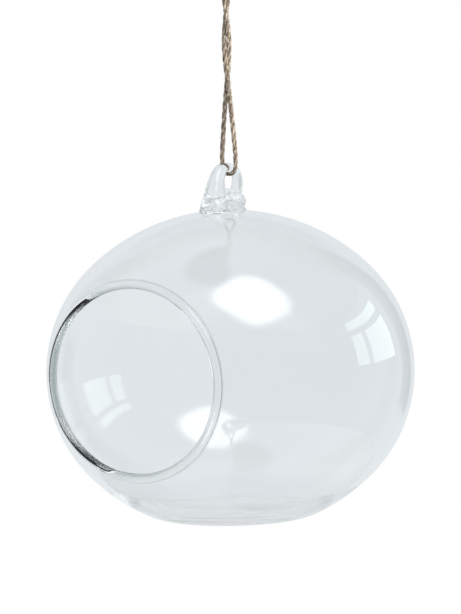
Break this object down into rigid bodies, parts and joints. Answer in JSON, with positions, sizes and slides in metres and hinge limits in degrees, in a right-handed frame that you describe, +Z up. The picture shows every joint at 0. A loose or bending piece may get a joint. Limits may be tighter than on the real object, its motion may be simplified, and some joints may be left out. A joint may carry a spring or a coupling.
{
  "type": "hanging glass globe vase",
  "caption": "Clear blown-glass globe with a round side mouth and flat base, hung by a glass hook on twisted jute twine; for cuttings, flowers or plants.",
  "frame": {"origin": "where a ceiling hook bears in the eye at the top of the twine", "axes": "+Z up along the plumb line through the glass loop and the glass's centre of mass, the mouth faces -Y, +X to the right as one looks into the mouth"},
  "size_m": [0.18, 0.1651, 0.2906],
  "materials": {
    "clear_glass": "clear, fire-polished",
    "jute_twine": "natural jute, loosely spun"
  },
  "bodies": {
    "twine_top": {"twine_twisted_pair": "jute_twine", "twine_eye": "jute_twine", "twine_knot": "jute_twine", "twine_tails": "jute_twine"},
    "twine_fork": {"twine_bight": "jute_twine"},
    "vase": {"glass_globe": "clear_glass", "glass_hook": "clear_glass"}
  },
  "joints": [
    {"name": "vase_turn", "type": "hinge", "parent": "twine_top", "child": "twine_fork", "pos_m": [0, 0, -0.07], "axis": [0, 0, 1], "range_deg": [-150, 150]},
    {"name": "vase_swing", "type": "hinge", "parent": "twine_fork", "child": "vase", "pos_m": [0, 0, -0.107], "axis": [1, 0, 0], "range_deg": [-60, 60]}
  ]
}
